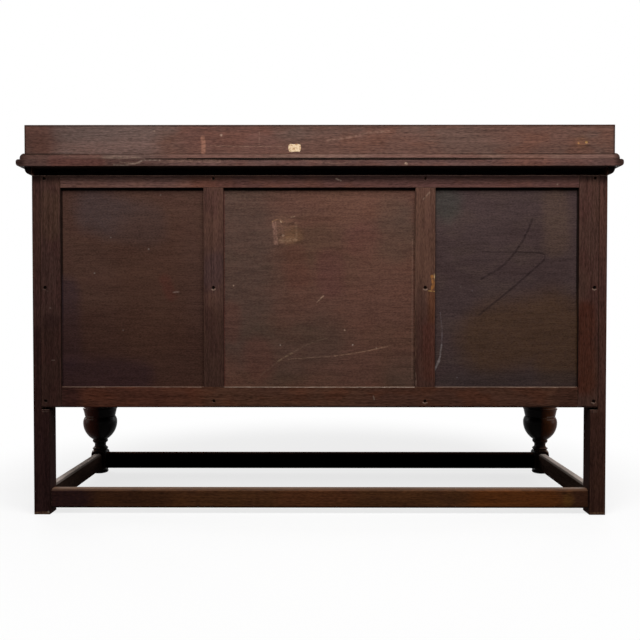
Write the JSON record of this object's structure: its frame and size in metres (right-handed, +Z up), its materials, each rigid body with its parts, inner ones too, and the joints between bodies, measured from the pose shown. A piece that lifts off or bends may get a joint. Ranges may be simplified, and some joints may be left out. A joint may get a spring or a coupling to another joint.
{
  "type": "sideboard",
  "caption": "Panelled oak sideboard with moulded top, low back upstand, cupboards flanking drawers, turned cup-and-cover front legs and a box stretcher.",
  "frame": {"origin": "on the floor under the middle of the top", "axes": "+Z up, the doors and drawers face -Y, the panelled back faces +Y, +X to the right seen from the front"},
  "size_m": [1.524, 0.508, 0.985],
  "materials": {
    "stained_oak": "dark stained oak, worn satin",
    "stained_panel": "dark stained panel, dull",
    "pale_oak": "unstained oak, aged, dull",
    "aged_brass": "tarnished brass",
    "steel_screws": "blackened steel"
  },
  "bodies": {
    "carcase": {"back_bottom_rail": "stained_oak", "back_muntins": "stained_oak", "back_panel_centre": "stained_panel", "back_panel_left": "stained_panel", "back_panel_right": "stained_panel", "back_screws": "steel_screws", "back_stile_left": "stained_oak", "back_stile_right": "stained_oak", "back_top_rail": "stained_oak", "bed_mould": "stained_oak", "cupboard_shelves": "pale_oak", "drawer_dividers": "stained_oak", "drawer_runners": "pale_oak", "floor_board": "pale_oak", "front_bottom_rail": "stained_oak", "front_leg_left": "stained_oak", "front_leg_right": "stained_oak", "front_post_left": "stained_oak", "front_post_right": "stained_oak", "front_stretcher": "stained_oak", "front_top_rail": "stained_oak", "gallery_board": "stained_oak", "hinge_plates": "aged_brass", "partitions": "stained_oak", "rear_post_left": "stained_oak", "rear_post_right": "stained_oak", "rear_stretcher": "stained_oak", "side_panels": "stained_oak", "side_rails": "stained_oak", "side_stretchers": "stained_oak", "support_cleats": "pale_oak", "top_bearers": "pale_oak", "top_lower_board": "stained_oak", "top_upper_board": "stained_oak"},
    "door_left": {"door_left_frame": "stained_oak", "door_left_panel": "stained_oak", "door_left_moulding": "stained_oak", "door_left_brasswork": "aged_brass"},
    "door_left_drop": {"door_left_drop": "aged_brass"},
    "door_right": {"door_right_frame": "stained_oak", "door_right_panel": "stained_oak", "door_right_moulding": "stained_oak", "door_right_brasswork": "aged_brass"},
    "door_right_drop": {"door_right_drop": "aged_brass"},
    "drawer_upper": {"drawer_upper_front": "stained_oak", "drawer_upper_box": "pale_oak", "drawer_upper_roses": "aged_brass"},
    "drawer_upper_drop_left": {"drawer_upper_drop_left": "aged_brass"},
    "drawer_upper_drop_right": {"drawer_upper_drop_right": "aged_brass"},
    "drawer_middle": {"drawer_middle_front": "stained_oak", "drawer_middle_box": "pale_oak", "drawer_middle_roses": "aged_brass"},
    "drawer_middle_drop_left": {"drawer_middle_drop_left": "aged_brass"},
    "drawer_middle_drop_right": {"drawer_middle_drop_right": "aged_brass"},
    "drawer_lower": {"drawer_lower_front": "stained_oak", "drawer_lower_box": "pale_oak", "drawer_lower_roses": "aged_brass"},
    "drawer_lower_drop_left": {"drawer_lower_drop_left": "aged_brass"},
    "drawer_lower_drop_right": {"drawer_lower_drop_right": "aged_brass"}
  },
  "joints": [
    {"name": "door_left_swing", "type": "hinge", "parent": "carcase", "child": "door_left", "pos_m": [-0.6692, -0.232, 0.5705], "axis": [0, 0, -1], "range_deg": [0, 170]},
    {"name": "door_left_drop_swing", "type": "hinge", "parent": "door_left", "child": "door_left_drop", "pos_m": [-0.3096, -0.2405, 0.5085], "axis": [-1, 0, 0], "range_deg": [0, 85]},
    {"name": "door_right_swing", "type": "hinge", "parent": "carcase", "child": "door_right", "pos_m": [0.6692, -0.232, 0.5705], "axis": [0, 0, 1], "range_deg": [0, 170]},
    {"name": "door_right_drop_swing", "type": "hinge", "parent": "door_right", "child": "door_right_drop", "pos_m": [0.3096, -0.2405, 0.5085], "axis": [-1, 0, 0], "range_deg": [0, 85]},
    {"name": "drawer_upper_slide", "type": "slide", "parent": "carcase", "child": "drawer_upper", "axis": [0, -1, 0], "range_m": [0, 0.33]},
    {"name": "drawer_upper_drop_left_swing", "type": "hinge", "parent": "drawer_upper", "child": "drawer_upper_drop_left", "pos_m": [-0.14, -0.2405, 0.758], "axis": [-1, 0, 0], "range_deg": [0, 85]},
    {"name": "drawer_upper_drop_right_swing", "type": "hinge", "parent": "drawer_upper", "child": "drawer_upper_drop_right", "pos_m": [0.14, -0.2405, 0.758], "axis": [-1, 0, 0], "range_deg": [0, 85]},
    {"name": "drawer_middle_slide", "type": "slide", "parent": "carcase", "child": "drawer_middle", "axis": [0, -1, 0], "range_m": [0, 0.33]},
    {"name": "drawer_middle_drop_left_swing", "type": "hinge", "parent": "drawer_middle", "child": "drawer_middle_drop_left", "pos_m": [-0.14, -0.2405, 0.588], "axis": [-1, 0, 0], "range_deg": [0, 85]},
    {"name": "drawer_middle_drop_right_swing", "type": "hinge", "parent": "drawer_middle", "child": "drawer_middle_drop_right", "pos_m": [0.14, -0.2405, 0.588], "axis": [-1, 0, 0], "range_deg": [0, 85]},
    {"name": "drawer_lower_slide", "type": "slide", "parent": "carcase", "child": "drawer_lower", "axis": [0, -1, 0], "range_m": [0, 0.33]},
    {"name": "drawer_lower_drop_left_swing", "type": "hinge", "parent": "drawer_lower", "child": "drawer_lower_drop_left", "pos_m": [-0.14, -0.2405, 0.4005], "axis": [-1, 0, 0], "range_deg": [0, 85]},
    {"name": "drawer_lower_drop_right_swing", "type": "hinge", "parent": "drawer_lower", "child": "drawer_lower_drop_right", "pos_m": [0.14, -0.2405, 0.4005], "axis": [-1, 0, 0], "range_deg": [0, 85]}
  ]
}
